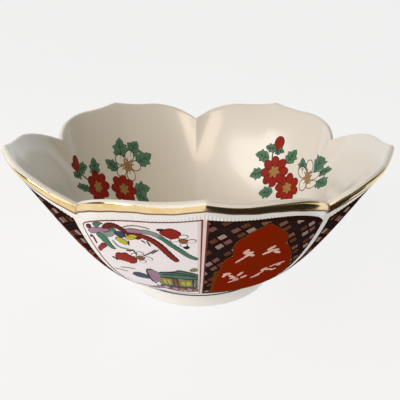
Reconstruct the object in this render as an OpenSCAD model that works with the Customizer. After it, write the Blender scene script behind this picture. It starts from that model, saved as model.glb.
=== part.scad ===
// Serving bowl: a five-petalled porcelain bowl on a turned foot ring, with a gilt rim, a
// cobalt line on the foot, ten enamel panels outside and three flower sprays inside.
// The origin is the centre of the circle that the foot stands on. A petal points along -Y.

/* [Body] */
// Number of petals round the rim
petals = 5; // [4:1:8]
// Radius of the rim at the shoulders of a petal
shoulder_r = 125; // [100:1:150]
// Height of the shoulders above the table
shoulder_h = 106; // [88:1:128]
// Rise of the point in the middle of each petal above its shoulders
tip_rise = 3.4; // [0:0.1:6]
// Dip of the notches between petals below the shoulders
notch_drop = 13; // [6:0.5:16]
// Flare of the wall at the petals' tips, from upright
rim_flare = 39; // [30:1:46]
// Flare of the wall at the notches, from upright
notch_flare = 15; // [5:1:40]
// Flare of the wall where it leaves the foot, from upright
foot_flare = 63; // [50:1:72]
// Depth of the crease that runs down the wall from each notch
crease_depth = 1.6; // [0:0.1:3]
// Thickness of the rounded lip
lip_t = 4.4; // [3:0.1:6]
// Thickness of the wall where it meets the floor
wall_t = 6; // [4:0.1:8]
// Thickness of the floor
floor_t = 5; // [4:0.1:8]

/* [Foot] */
// Radius of the circle that the foot stands on
foot_r = 56; // [46:0.5:66]
// Radius of the seat under the wall, where the foot ring is luted on
seat_r = 57.5; // [47:0.5:68]
// Height of the foot ring
foot_h = 12.5; // [8:0.5:16]
// Width of the foot ring's standing face
foot_w = 5; // [3:0.1:8]

/* [Decoration] */
// Thickness of the fired enamel panels and sprays
enamel_t = 0.3; // [0.1:0.05:0.6]
// Thickness of the gilding on the rim
gilt_t = 0.2; // [0.1:0.05:0.4]
// Width of the cobalt line round the foot
line_w = 1.2; // [0.5:0.1:3]
// Drop of the cobalt line's middle below the seat of the wall
line_drop = 1.9; // [1.6:0.1:5]
// Thickness of the cobalt line
line_t = 0.2; // [0.1:0.05:0.5]
// Start of the panels along the wall, from 0 at the foot to 1 at the lip
panel_from = 0.13; // [0.02:0.01:0.2]
// End of the panels along the wall
panel_to = 0.9; // [0.6:0.01:0.93]
// Start of the gilding along the wall
gilt_from = 0.952; // [0.94:0.002:0.98]
// Bare strip beside a petal's middle, as a share of half a petal
middle_gap = 0.03; // [0.01:0.01:0.1]
// Bare strip beside a crease, as a share of half a petal
crease_gap = 0.06; // [0.02:0.01:0.2]
// Directions of the flower sprays round the inside, in degrees from +X
spray_at = [268, 31, 142]; // [0:1:360]

/* [Hidden] */
petal_angle = 360 / petals;
shoulder_at = 0.39;        // where a petal's shoulder lies: 0 is its middle, 1 is the notch
notch_power = 2.1;         // how sharply the rim falls into a notch
crease_width = 0.3;        // share of half a petal that a crease bends
foot_reach = 34;           // length of the wall curve's tangent at the foot
rim_reach = 32;            // length of the wall curve's tangent at the lip
inner_foot = 0.08;         // where the inner wall runs out into the floor
floor_power = 6;           // how flat the floor stays before it turns up
panel_cells = 8;           // grid cells across half a petal, and up a panel
inner_cells = 10;          // grid cells up the inside
lip_steps = 5;             // grid cells over the lip
floor_rings = [0.95, 0.88, 0.78, 0.62, 0.4];  // rings of the floor, as shares of its radius
spray_half_angle = 22;     // half the width of a spray, in degrees
spray_mid = 0.54;          // middle of a spray along the wall
spray_half = 0.26;         // half the height of a spray along the wall
round_steps = 120;         // steps round the foot

PANELS = [for (p = [1:petals]) str("picture_panel_", p)];
LATTICES = [for (p = [1:petals]) str("lattice_panel_", p)];
RESERVES = [for (p = [1:petals]) str("red_reserve_", p)];
SPRAYS = [for (n = [1:len(spray_at)]) str("flower_spray_", n)];
PIECES = ["bowl_body", "foot_ring", "rim_gilding", "foot_line"];

// ---- The rim and the wall's section --------------------------------------------------------

// Height of the lip's crest at u, the place across half a petal: 0 at its middle, 1 at the notch.
function crest_z(u) = shoulder_h
    + tip_rise * pow(max(0, 1 - u / shoulder_at), 2)
    - notch_drop * pow(max(0, (u - shoulder_at) / (1 - shoulder_at)), notch_power);

// The scallops are cut down a wall that flares, so the crest draws in as it dips.
function crest_r(u) = shoulder_r + tan(rim_flare) * (crest_z(u) - shoulder_h);

// The wall flares most at a petal's tip and stands steepest at the notch.
function wall_flare(u) = rim_flare + (notch_flare - rim_flare) * u * u;

// Unit vectors in the section [r, z]: up the wall, and out of it, for a wall at this flare.
function up_wall(flare) = [sin(flare), cos(flare)];
function out_of_wall(flare) = [cos(flare), -sin(flare)];

// Middle of the lip's rounding, and a point on it: turn is 0 outside, 90 on top, 180 inside.
function lip_middle(u) = [crest_r(u), crest_z(u)] - lip_t / 2 * up_wall(wall_flare(u));
function over_lip(u, turn) =
    cos(turn) * out_of_wall(wall_flare(u)) + sin(turn) * up_wall(wall_flare(u));
function lip_point(u, turn) = lip_middle(u) + lip_t / 2 * over_lip(u, turn);

// The outer wall is one cubic curve, from the seat on the foot (s = 0) to the lip (s = 1).
function curve_points(u) = [
    [seat_r, foot_h],
    [seat_r, foot_h] + foot_reach * up_wall(foot_flare),
    lip_point(u, 0) - rim_reach * up_wall(wall_flare(u)),
    lip_point(u, 0)];
function on_curve(p, s) = p[0] * pow(1 - s, 3) + p[1] * 3 * s * pow(1 - s, 2)
    + p[2] * 3 * s * s * (1 - s) + p[3] * pow(s, 3);
function along_curve(p, s) = (p[1] - p[0]) * pow(1 - s, 2) + (p[2] - p[1]) * 2 * s * (1 - s)
    + (p[3] - p[2]) * s * s;
function normal_to(t) = [t[1], -t[0]] / norm(t);
function crease(u, s) = crease_depth * pow(max(0, 1 - (1 - u) / crease_width), 2) * sin(90 * s);

function outside(u, s) = on_curve(curve_points(u), s) - [crease(u, s), 0];
function outward(u, s) = normal_to(along_curve(curve_points(u), s));
function thickness(s) = wall_t + (lip_t - wall_t) * s;
function inside(u, s) = outside(u, s) - thickness(s) * outward(u, s);

// ---- The grid that the wall and everything laid on it share --------------------------------

// Places across half a petal, in grid columns from its middle to the notch.
half_grid = concat([0],
    [for (i = [0:panel_cells]) middle_gap + (1 - crease_gap - middle_gap) * i / panel_cells],
    [1]);
half_columns = len(half_grid) - 1;
petal_columns = 2 * half_columns;
columns = petals * petal_columns;

// Column number j counts from the first petal's first notch; its place and its direction.
function column_side(j) = (j % petal_columns) - half_columns;
function column_u(j) = half_grid[abs(column_side(j))];
function column_angle(j) = -90 + petal_angle * floor(j / petal_columns)
    + petal_angle / 2 * sign(column_side(j)) * column_u(j);

// Grid rows: up the outside, over the lip, and down the inside.
outer_rows = concat([0],
    [for (i = [0:panel_cells]) panel_from + (panel_to - panel_from) * i / panel_cells],
    [gilt_from, 1]);
inner_rows = [for (i = [0:inner_cells]) 1 + (inner_foot - 1) * i / inner_cells];
first_lip_row = len(outer_rows);
first_inner_row = first_lip_row + lip_steps - 1;
wall_rows = first_inner_row + len(inner_rows);

function row_section(k, u) =
    k < first_lip_row ? outside(u, outer_rows[k])
    : k < first_inner_row ? lip_point(u, lip_turn(k)) - [crease(u, 1), 0]
    : inside(u, inner_rows[k - first_inner_row]);
function row_normal(k, u) =
    k < first_lip_row ? outward(u, outer_rows[k])
    : k < first_inner_row ? over_lip(u, lip_turn(k))
    : -outward(u, inner_rows[k - first_inner_row]);
function lip_turn(k) = 180 * (k - first_lip_row + 1) / lip_steps;

function place(section, angle) = [section[0] * cos(angle), section[0] * sin(angle), section[1]];
// A grid point, raised by lift above the glaze.
function grid_point(k, j, lift = 0) =
    place(row_section(k, column_u(j)) + lift * row_normal(k, column_u(j)), column_angle(j));

// The floor carries on from the last row of the wall, and flattens towards the middle.
floor_z = foot_h + floor_t;
function floor_point(q, j) =
    let (edge = row_section(wall_rows - 1, column_u(j)))
    place([edge[0] * q, floor_z + (edge[1] - floor_z) * pow(q, floor_power)], column_angle(j));

// ---- Pieces --------------------------------------------------------------------------------

// Two triangles, clockwise from outside, between columns j and j + 1 of two rows of points.
function band(low, high, j, next) = [
    [low + j, high + next, low + next],
    [low + j, high + j, high + next]];

module bowl_body() {
    rings = concat(
        [for (k = [0:wall_rows - 1]) [for (j = [0:columns - 1]) grid_point(k, j)]],
        [for (q = floor_rings) [for (j = [0:columns - 1]) floor_point(q, j)]]);
    points = concat([for (ring = rings) each ring], [[0, 0, foot_h], [0, 0, floor_z]]);
    last = (len(rings) - 1) * columns;
    under_middle = len(rings) * columns;
    floor_middle = under_middle + 1;
    walls = [for (k = [0:len(rings) - 2]) for (j = [0:columns - 1])
        each band(k * columns, (k + 1) * columns, j, (j + 1) % columns)];
    base = [for (j = [0:columns - 1]) [j, (j + 1) % columns, under_middle]];
    well = [for (j = [0:columns - 1]) [last + (j + 1) % columns, last + j, floor_middle]];
    color("ivory") polyhedron(points, concat(walls, base, well));
}

// A layer of even thickness on the wall's grid, over the cells in the list [[row, column], ...].
module skin(cells, thickness) {
    function has(k, j) = len([for (c = cells) if (c[0] == k && c[1] == j % columns) 1]) > 0;
    marked = [for (k = [0:wall_rows - 1]) [for (j = [0:columns - 1]) has(k, j)]];
    function filled(k, j) = k >= 0 && k < wall_rows && marked[k][(j + columns) % columns];
    count = wall_rows * columns;
    points = [for (lift = [0, thickness]) for (k = [0:wall_rows - 1]) for (j = [0:columns - 1])
        grid_point(k, j, lift)];
    function id(k, j, layer) = layer * count + k * columns + (j + columns) % columns;
    function edge(k1, j1, k2, j2) = [
        [id(k1, j1, 0), id(k2, j2, 1), id(k2, j2, 0)],
        [id(k1, j1, 0), id(k1, j1, 1), id(k2, j2, 1)]];
    function top(k, j) = [
        [id(k, j, 1), id(k + 1, j + 1, 1), id(k, j + 1, 1)],
        [id(k, j, 1), id(k + 1, j, 1), id(k + 1, j + 1, 1)]];
    function back(k, j) = [
        [id(k, j, 0), id(k, j + 1, 0), id(k + 1, j + 1, 0)],
        [id(k, j, 0), id(k + 1, j + 1, 0), id(k + 1, j, 0)]];
    faces = [for (c = cells) let (k = c[0], j = c[1]) each concat(
        top(k, j),
        back(k, j),
        filled(k - 1, j) ? [] : edge(k, j, k, j + 1),
        filled(k + 1, j) ? [] : edge(k + 1, j + 1, k + 1, j),
        filled(k, j - 1) ? [] : edge(k + 1, j, k, j),
        filled(k, j + 1) ? [] : edge(k, j + 1, k + 1, j + 1))];
    polyhedron(points, faces);
}

module foot_ring() {
    color("ivory") rotate_extrude($fn = round_steps) polygon([
        [foot_r - foot_w, 0], [foot_r, 0], [seat_r, foot_h], [seat_r - foot_w - 2, foot_h]]);
}

// The line follows the foot ring's leaning side, so it takes its radius from that side.
module foot_line() {
    function side_r(z) = foot_r + (seat_r - foot_r) * z / foot_h;
    low = foot_h - line_drop - line_w / 2;
    high = low + line_w;
    color("midnightblue") rotate_extrude($fn = round_steps) polygon([
        [side_r(low), low], [side_r(low) + line_t, low],
        [side_r(high) + line_t, high], [side_r(high), high]]);
}

module rim_gilding() {
    gilt_row = first_lip_row - 2;
    cells = [for (k = [gilt_row, gilt_row + 1]) for (j = [0:columns - 1]) [k, j]];
    color("goldenrod") skin(cells, gilt_t);
}

// Each petal has two panels, one on each side of its middle. The two panels that meet at a
// crease are of one kind, as far as an odd number of petals allows.
function first_half(petal) = petal % 2;
function half_start(petal, half) = (petal - 1) * petal_columns + (half == 0 ? 1 : half_columns + 1);
function picture_start(petal) = half_start(petal, 1 - first_half(petal));
function lattice_start(petal) = half_start(petal, first_half(petal));
panel_row = 1;

// The red reserve is an ogee in the middle of a lattice panel: wide below, a point at the top.
reserve_widths = [4, 6, 6, 6, 4, 4, 2, 0];  // in cells, one for each row of the panel
function in_reserve(row, column) = abs(column + 0.5 - panel_cells / 2) < reserve_widths[row] / 2;
function panel_cells_where(start, reserve) =
    [for (row = [0:panel_cells - 1]) for (i = [0:panel_cells - 1])
        if (in_reserve(row, i) == reserve) [panel_row + row, start + i]];

module picture_panel(petal) {
    color("lavenderblush") skin([for (row = [0:panel_cells - 1]) for (i = [0:panel_cells - 1])
        [panel_row + row, picture_start(petal) + i]], enamel_t);
}

module lattice_panel(petal) {
    color("saddlebrown") skin(panel_cells_where(lattice_start(petal), false), enamel_t);
}

module red_reserve(petal) {
    color("firebrick") skin(panel_cells_where(lattice_start(petal), true), enamel_t);
}

// A spray is laid on the cells of the inner wall whose middles fall in an oval.
function turn_between(a, b) = abs((a - b + 540) % 360 - 180);
function in_spray(at, k, j) =
    let (s = (inner_rows[k] + inner_rows[k + 1]) / 2,
         across = turn_between(column_angle(j) + petal_angle / petal_columns / 2, at) / spray_half_angle,
         up = (s - spray_mid) / spray_half)
    across * across + up * up < 1;

module flower_spray(at) {
    color("crimson") skin([for (k = [0:inner_cells - 1]) for (j = [0:columns - 1])
        if (in_spray(at, k, j)) [first_inner_row + k, j]], enamel_t);
}

bowl_body();
foot_ring();
rim_gilding();
foot_line();
for (p = [1:petals]) {
    picture_panel(p);
    lattice_panel(p);
    red_reserve(p);
}
for (n = [1:len(spray_at)]) {
    flower_spray(spray_at[n - 1]);
}
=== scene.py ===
import math

import bpy
import numpy as np
from mathutils.geometry import delaunay_2d_cdt
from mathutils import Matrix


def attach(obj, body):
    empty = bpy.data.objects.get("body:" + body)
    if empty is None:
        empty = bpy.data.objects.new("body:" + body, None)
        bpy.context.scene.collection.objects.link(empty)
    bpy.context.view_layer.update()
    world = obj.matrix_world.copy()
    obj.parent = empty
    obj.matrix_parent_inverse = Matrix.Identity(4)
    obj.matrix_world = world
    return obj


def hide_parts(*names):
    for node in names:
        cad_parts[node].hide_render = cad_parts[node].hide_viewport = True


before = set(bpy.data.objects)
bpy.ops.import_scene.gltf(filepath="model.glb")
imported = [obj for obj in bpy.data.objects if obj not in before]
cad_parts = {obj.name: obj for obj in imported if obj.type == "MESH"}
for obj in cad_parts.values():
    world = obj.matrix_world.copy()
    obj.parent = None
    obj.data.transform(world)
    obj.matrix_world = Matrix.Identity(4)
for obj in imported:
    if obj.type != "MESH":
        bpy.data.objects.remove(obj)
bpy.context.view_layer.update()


# ==== Bowl body ===============================================================================
# White porcelain, pressed in a five-petalled mould whose fine flutes run down the outside from
# below the rim to the foot. The lip is rounded and smooth, and so are the inside and the well.
# It is glazed all over and fired on its foot ring.

PETALS = 5
PETAL_TURN = 360 / PETALS
FRONT = -90
NOTCH_TURN = FRONT - PETAL_TURN / 2
SHOULDER_R = 125
SHOULDER_H = 106
SHOULDER_AT = 0.39
TIP_RISE = 3.4
NOTCH_DROP = 13
RIM_FLARE = math.radians(39)
NOTCH_FLARE = math.radians(15)
FOOT_FLARE = math.radians(63)
FOOT_REACH = 34
RIM_REACH = 32
CREASE_DEPTH = 1.6
CREASE_WIDTH = 0.3
LIP = 4.4
WALL = 6
FLOOR = 5
SEAT_R = 57.5
FOOT_H = 12.5
INNER_FOOT = 0.08
FLUTES = 430
FLUTE_DEPTH = 0.32
FLUTE_POINTS = 5
FLUTE_TOP = 0.945
WHITE_BAND_LOW = 0.89
WELL_ROWS = 34


def across(turn):
    """Place across half a petal: 0 in its middle, 1 in the notch."""
    side = (turn - FRONT) % PETAL_TURN
    return np.minimum(side, PETAL_TURN - side) / (PETAL_TURN / 2)


def crest(u):
    """Radius and height of the lip's crest."""
    tip = TIP_RISE * np.clip(1 - u / SHOULDER_AT, 0, None) ** 2
    notch = NOTCH_DROP * np.clip((u - SHOULDER_AT) / (1 - SHOULDER_AT), 0, None) ** 2.1
    return SHOULDER_R + math.tan(RIM_FLARE) * (tip - notch), SHOULDER_H + tip - notch


def lip_section(u, roll):
    """A point on the rounded lip, and its normal: roll is 0 outside, pi / 2 on top, pi inside."""
    flare = RIM_FLARE + (NOTCH_FLARE - RIM_FLARE) * u * u
    crest_r, crest_z = crest(u)
    normal_r = np.cos(roll) * np.cos(flare) + np.sin(roll) * np.sin(flare)
    normal_z = np.sin(roll) * np.cos(flare) - np.cos(roll) * np.sin(flare)
    middle_r = crest_r - LIP / 2 * np.sin(flare)
    middle_z = crest_z - LIP / 2 * np.cos(flare)
    draw_in = CREASE_DEPTH * np.clip(1 - (1 - u) / CREASE_WIDTH, 0, None) ** 2
    return middle_r + LIP / 2 * normal_r - draw_in, middle_z + LIP / 2 * normal_z, normal_r, normal_z


def outer_section(s, u):
    """The outer wall, from the foot (s = 0) to the lip (s = 1), and its outward normal."""
    flare = RIM_FLARE + (NOTCH_FLARE - RIM_FLARE) * u * u
    lip_r, lip_z, _, _ = lip_section(u, 0.0)
    draw_in = CREASE_DEPTH * np.clip(1 - (1 - u) / CREASE_WIDTH, 0, None) ** 2
    r = [SEAT_R, SEAT_R + FOOT_REACH * math.sin(FOOT_FLARE)]
    z = [FOOT_H, FOOT_H + FOOT_REACH * math.cos(FOOT_FLARE)]
    r += [lip_r + draw_in - RIM_REACH * np.sin(flare), lip_r + draw_in]
    z += [lip_z - RIM_REACH * np.cos(flare), lip_z]

    def on_curve(p):
        t = 1 - s
        return p[0] * t**3 + 3 * p[1] * s * t**2 + 3 * p[2] * s**2 * t + p[3] * s**3

    def along(p):
        t = 1 - s
        return (p[1] - p[0]) * t**2 + 2 * (p[2] - p[1]) * s * t + (p[3] - p[2]) * s**2

    length = np.hypot(along(r), along(z))
    return (on_curve(r) - draw_in * np.sin(np.pi / 2 * s), on_curve(z),
            along(z) / length, -along(r) / length)


def flute_dip(turn, s):
    """Depth of the flutes below the wall's surface. They are half as deep under the panels as in
    the white band above them, and fade out under the rim and at the foot."""
    fade = np.clip((FLUTE_TOP - s) / 0.03, 0, 1) * np.clip(s / 0.06, 0, 1)
    fade = fade * (0.5 + 0.5 * np.clip((s - WHITE_BAND_LOW) / 0.02, 0, 1))
    return FLUTE_DEPTH * fade * (0.5 - 0.5 * np.cos(np.radians(turn * FLUTES)))


def turned(r, z, turn):
    """Points in metres from a radius and a height in millimetres and a direction in degrees."""
    angle = np.radians(turn)
    return np.stack([r * np.cos(angle), r * np.sin(angle), z + 0 * r], axis=-1) / 1000


def outside(turn, s, lift):
    """A point raised by lift above the fluted outside."""
    r, z, normal_r, normal_z = outer_section(s, across(turn))
    rise = lift - flute_dip(turn, s)
    return turned(r + rise * normal_r, z + rise * normal_z, turn)


def inside(turn, s, lift):
    """A point raised by lift above the smooth inside."""
    r, z, normal_r, normal_z = outer_section(s, across(turn))
    depth = WALL + (LIP - WALL) * s + lift
    return turned(r - depth * normal_r, z - depth * normal_z, turn)


def over_lip(turn, roll, lift):
    """A point raised by lift above the lip."""
    r, z, normal_r, normal_z = lip_section(across(turn), roll)
    return turned(r + lift * normal_r, z + lift * normal_z, turn)


def add_mesh(name, points, faces, material):
    """A smooth-shaded piece with its hard edges kept."""
    mesh = bpy.data.meshes.new(name)
    mesh.from_pydata(np.asarray(points).tolist(), [], faces)
    mesh.shade_smooth()
    mesh.set_sharp_from_angle(angle=math.radians(50))
    mesh.materials.append(material)
    piece = bpy.data.objects.new(name, mesh)
    bpy.context.scene.collection.objects.link(piece)
    return piece


def rings_to_faces(first, count, columns):
    """Faces between neighbouring rings of the same number of points."""
    faces = []
    for k in range(count - 1):
        low = first + k * columns
        for j in range(columns):
            n = (j + 1) % columns
            faces.append((low + j, low + n, low + columns + n, low + columns + j))
    return faces


class Flow:
    """A socket of a material's nodes that takes part in ordinary Python maths."""

    def __init__(self, tree, socket=None):
        self.tree = tree
        self.socket = socket

    def node(self, kind, settings, values, output=0):
        made = self.tree.nodes.new(kind)
        for name, value in settings.items():
            setattr(made, name, value)
        for name, value in values.items():
            if isinstance(value, Flow):
                self.tree.links.new(value.socket, made.inputs[name])
            else:
                made.inputs[name].default_value = value
        return None if output is None else Flow(self.tree, made.outputs[output])

    def maths(self, operation, first, second):
        return self.node("ShaderNodeMath", {"operation": operation}, {0: first, 1: second})

    def __add__(self, other):
        return self.maths("ADD", self, other)

    def __radd__(self, other):
        return self.maths("ADD", other, self)

    def __sub__(self, other):
        return self.maths("SUBTRACT", self, other)

    def __rsub__(self, other):
        return self.maths("SUBTRACT", other, self)

    def __mul__(self, other):
        return self.maths("MULTIPLY", self, other)

    def __rmul__(self, other):
        return self.maths("MULTIPLY", other, self)

    def blend(self, factor, first, second):
        """A colour between two. Sockets 6 and 7 of a Mix node take colours, and 2 gives one."""
        return self.node("ShaderNodeMix", {"data_type": "RGBA"},
                         {0: factor, 6: (*first, 1), 7: (*second, 1)}, output=2)


def glossy(name, tone, other_tone, cloud, roughness, gloss=0.5, coat=0.0, metallic=0.0, ripple=0.0):
    """A material whose colour clouds softly between two tones. cloud is a cloud's size in mm."""
    material = bpy.data.materials.new(name)
    material.use_nodes = True
    tree = material.node_tree
    tree.nodes.clear()
    flow = Flow(tree)
    place = flow.node("ShaderNodeTexCoord", {}, {}, output="Object")
    clouds = flow.node("ShaderNodeTexNoise", {}, {"Vector": place, "Scale": 1000 / cloud, "Detail": 3.0})
    colour = flow.blend(clouds, tone, other_tone)
    values = {"Base Color": colour, "Roughness": roughness + 0.12 * clouds, "Metallic": metallic,
              "Specular IOR Level": gloss, "Coat Weight": coat, "Coat Roughness": 0.06}
    if ripple:
        waves = flow.node("ShaderNodeTexNoise", {}, {"Vector": place, "Scale": 90.0, "Detail": 1.0})
        values["Normal"] = flow.node("ShaderNodeBump", {},
                                     {"Strength": ripple, "Distance": 0.001, "Height": waves})
    shader = flow.node("ShaderNodeBsdfPrincipled", {}, values)
    flow.node("ShaderNodeOutputMaterial", {}, {"Surface": shader}, output=None)
    return material


# Rings of points go up the fluted outside, over the lip, and down the smooth inside, which needs
# fewer: one to a flute. Fans of triangles join the fine rings to the coarse ones.
fine_columns = FLUTES * FLUTE_POINTS
coarse_columns = FLUTES
fine_turn = NOTCH_TURN + np.arange(fine_columns) * 360 / fine_columns
coarse_turn = NOTCH_TURN + np.arange(coarse_columns) * 360 / coarse_columns
wall_rows = np.concatenate([[0, 0.02, 0.045], np.linspace(0.07, 0.9, 24),
                            [0.915, 0.93, 0.945, 0.96, 0.98, 1]])
fine_rings = [outside(fine_turn, s, 0.0) for s in wall_rows]
fine_rings += [over_lip(fine_turn, math.radians(roll), 0.0) for roll in (30, 60)]
coarse_rings = [over_lip(coarse_turn, math.radians(roll), 0.0) for roll in (90, 120, 150)]
coarse_rings += [inside(coarse_turn, s, 0.0) for s in np.linspace(1, INNER_FOOT, WELL_ROWS)]
well_edge = coarse_rings[-1] * 1000
edge_r = np.hypot(well_edge[:, 0], well_edge[:, 1])
well_z = FOOT_H + FLOOR
for q in (0.97, 0.93, 0.88, 0.82, 0.74, 0.62, 0.45, 0.25, 0.08):
    coarse_rings.append(turned(edge_r * q, well_z + (well_edge[:, 2] - well_z) * q**6, coarse_turn))
under_rings = [turned(np.full(coarse_columns, SEAT_R * q), FOOT_H, coarse_turn) for q in (0.85, 0.5, 0.1)]

points = np.concatenate(fine_rings + coarse_rings + under_rings)
join_from = (len(fine_rings) - 1) * fine_columns
coarse_from = len(fine_rings) * fine_columns
under_from = coarse_from + len(coarse_rings) * coarse_columns
faces = rings_to_faces(0, len(fine_rings), fine_columns)
faces += rings_to_faces(coarse_from, len(coarse_rings), coarse_columns)
for c in range(coarse_columns):
    n = (c + 1) % coarse_columns
    here, next_one = coarse_from + c, coarse_from + n
    fine = [join_from + (FLUTE_POINTS * c + k) % fine_columns for k in range(FLUTE_POINTS + 1)]
    faces += [(fine[k], fine[k + 1], here) for k in range(3)]
    faces.append((fine[3], next_one, here))
    faces += [(fine[k], fine[k + 1], next_one) for k in (3, 4)]
    seat = [(FLUTE_POINTS * c + k) % fine_columns for k in range(FLUTE_POINTS + 1)]
    rim_here, rim_next = under_from + c, under_from + n
    faces += [(seat[k + 1], seat[k], rim_here) for k in range(3)]
    faces.append((seat[3], rim_here, rim_next))
    faces += [(seat[k + 1], seat[k], rim_next) for k in (3, 4)]
for row in range(len(under_rings) - 1):
    low = under_from + row * coarse_columns
    for j in range(coarse_columns):
        n = (j + 1) % coarse_columns
        faces.append((low + n, low + j, low + coarse_columns + j, low + coarse_columns + n))
well_last = under_from - coarse_columns
faces.append(tuple(well_last + j for j in range(coarse_columns)))
faces.append(tuple(len(points) - 1 - j for j in range(coarse_columns)))

porcelain = glossy("porcelain_glaze", (0.86, 0.84, 0.81), (0.83, 0.81, 0.775), 60, 0.12, coat=0.3)
body = add_mesh("bowl_body_porcelain", points, faces, porcelain)
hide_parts("bowl_body")
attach(body, "root")


# ==== Foot ring ===============================================================================
# A turned ring of the same porcelain, luted under the bowl while both were still damp. Its
# standing edge is wiped free of glaze and slightly rounded, and slip fills the joint to the wall.

FOOT_R = 56
FOOT_W = 5
FOOT_COLUMNS = 180


def closed_section(count, columns):
    """Faces of a closed section that runs all round the bowl: its last ring meets its first."""
    last = (count - 1) * columns
    closing = [(last + j, last + (j + 1) % columns, (j + 1) % columns, j) for j in range(columns)]
    return rings_to_faces(0, count, columns) + closing


def lathe(name, section, columns, material):
    """A ring turned from a closed section of [radius, height], listed clockwise from inside."""
    turn = np.arange(columns) * 360 / columns
    rings = [turned(np.full(columns, r), z, turn) for r, z in section]
    return add_mesh(name, np.concatenate(rings), closed_section(len(rings), columns), material)


inner_r = FOOT_R - FOOT_W
foot_section = [
    (inner_r - 0.6, FOOT_H), (inner_r - 0.1, 10), (inner_r, 6), (inner_r + 0.1, 1.6), (inner_r + 0.5, 0.6),
    (inner_r + 1.4, 0), (FOOT_R - 1.4, 0), (FOOT_R - 0.5, 0.4), (FOOT_R + 0.05, 1.4), (FOOT_R + 0.5, 5),
    (FOOT_R + 1, 8.5), (FOOT_R + 1.3, 11), (SEAT_R + 0.9, FOOT_H + 0.45), (SEAT_R - 2, FOOT_H + 0.1)]
foot = lathe("foot_ring_porcelain", foot_section, FOOT_COLUMNS, porcelain)
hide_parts("foot_ring")
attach(foot, "root")


# ==== Cobalt line =============================================================================
# One thin line of cobalt blue, brushed round the foot on the wheel before glazing.

LINE_TOP = 11.2
LINE_LOW = 10.1
LINE_RISE = 0.18
LINE_ROUND = 0.2
SUNK = -0.1


def foot_side(z):
    """Radius of the foot ring's outer side."""
    return np.interp(z, [5, 8.5, 11], [FOOT_R + 0.5, FOOT_R + 1, FOOT_R + 1.3])


cobalt = glossy("cobalt_blue", (0.03, 0.035, 0.06), (0.06, 0.07, 0.12), 15, 0.2, gloss=0.2)
line_section = [
    (foot_side(LINE_LOW) + SUNK, LINE_LOW), (foot_side(LINE_LOW) + LINE_RISE / 2, LINE_LOW),
    (foot_side(LINE_LOW + LINE_ROUND) + LINE_RISE, LINE_LOW + LINE_ROUND),
    (foot_side(LINE_TOP - LINE_ROUND) + LINE_RISE, LINE_TOP - LINE_ROUND),
    (foot_side(LINE_TOP) + LINE_RISE / 2, LINE_TOP), (foot_side(LINE_TOP) + SUNK, LINE_TOP)]
line = lathe("foot_line_cobalt", line_section, FOOT_COLUMNS, cobalt)
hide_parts("foot_line")
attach(line, "root")


# ==== Rim gilding =============================================================================
# Burnished gold, brushed by hand on the outside of the rim and up over the lip, and fired on
# last. Its lower edge wanders a little, and a thin band of darker brown along it is painted shade.

GILT_LOW = 0.976
GILT_ROLL = 44
GILT_WRAP = 26
GILT = 0.12

gilt_turn = NOTCH_TURN + np.arange(1080) / 3
wander = 0.0022 * np.sin(np.radians(gilt_turn * 23)) + 0.0016 * np.sin(np.radians(gilt_turn * 61 + 40))
gilt_low = GILT_LOW + wander
gilt_rings = [outside(gilt_turn, gilt_low, SUNK), outside(gilt_turn, gilt_low, GILT * 0.6)]
gilt_rings += [outside(gilt_turn, gilt_low + (1 - gilt_low) * q, GILT) for q in (0.06, 0.3, 0.6, 0.9, 1)]
wrap = np.sin(np.pi * np.clip((across(gilt_turn) - 0.25) / 0.75, 0, 1))
gilt_top = GILT_ROLL + GILT_WRAP * wrap + 3 * np.sin(np.radians(gilt_turn * 31))
gilt_rings += [over_lip(gilt_turn, np.radians(gilt_top * q), GILT) for q in (0.4, 0.8, 0.97)]
gilt_rings += [over_lip(gilt_turn, np.radians(gilt_top), lift) for lift in (GILT * 0.6, SUNK)]
gilt_faces = closed_section(len(gilt_rings), len(gilt_turn))
gold = glossy("burnished_gold", (1.0, 0.84, 0.5), (0.8, 0.52, 0.2), 7, 0.1, metallic=1.0, ripple=0.2)
# A darker brown gold for the band along the gilding's lower edge: painted shade.
shaded_edge_gold = glossy("painted_shade_gold", (0.3, 0.12, 0.035), (0.16, 0.06, 0.02), 5, 0.3, metallic=0.6)
gilding = add_mesh("rim_gilding_gold", np.concatenate(gilt_rings), gilt_faces, gold)
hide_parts("rim_gilding")
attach(gilding, "root")

# The band of painted shade along the gold's lower edge, mostly just below it.
EDGE_HIGH = 0.012
edge_section = [(0, SUNK), (0, 0.1), (0.15, 0.16), (0.85, 0.16), (1, 0.1), (1, SUNK)]
edge_rings = [outside(gilt_turn, gilt_low - EDGE_HIGH * (1 - 1.15 * q), lift) for q, lift in edge_section]
edge_faces = closed_section(len(edge_rings), len(gilt_turn))
gilding_edge = add_mesh("rim_gilding_painted_shade_edge", np.concatenate(edge_rings), edge_faces, shaded_edge_gold)
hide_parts("rim_gilding")
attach(gilding_edge, "root")


# ==== Picture panels ==========================================================================
# A pheasant among peonies over a court cart, printed in outline and filled with many coloured
# enamels, which stand up from the glaze. A fine dark red line frames each panel.

PANEL_WIDE = 62.8
PANEL_HIGH = 84
PANEL_LOW = 0.13
PANEL_TOP = 0.9
CREASE_GAP = 0.036
MIDDLE_GAP = 0.012
PANEL_SPAN = 1 - CREASE_GAP - MIDDLE_GAP
PICTURE_EDGE = 1.6
PRINT_LINE = 0.35
ENAMEL_ROOT = -0.06
PATCH_STEP = 0.004
PATCH_STEPS = 9
ENAMEL_CELL = 180 / FLUTES / (PETAL_TURN / 2) * PANEL_WIDE / PANEL_SPAN
PICTURE_MIDDLE = (1 - CREASE_GAP) * PANEL_WIDE / PANEL_SPAN - PICTURE_EDGE

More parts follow.
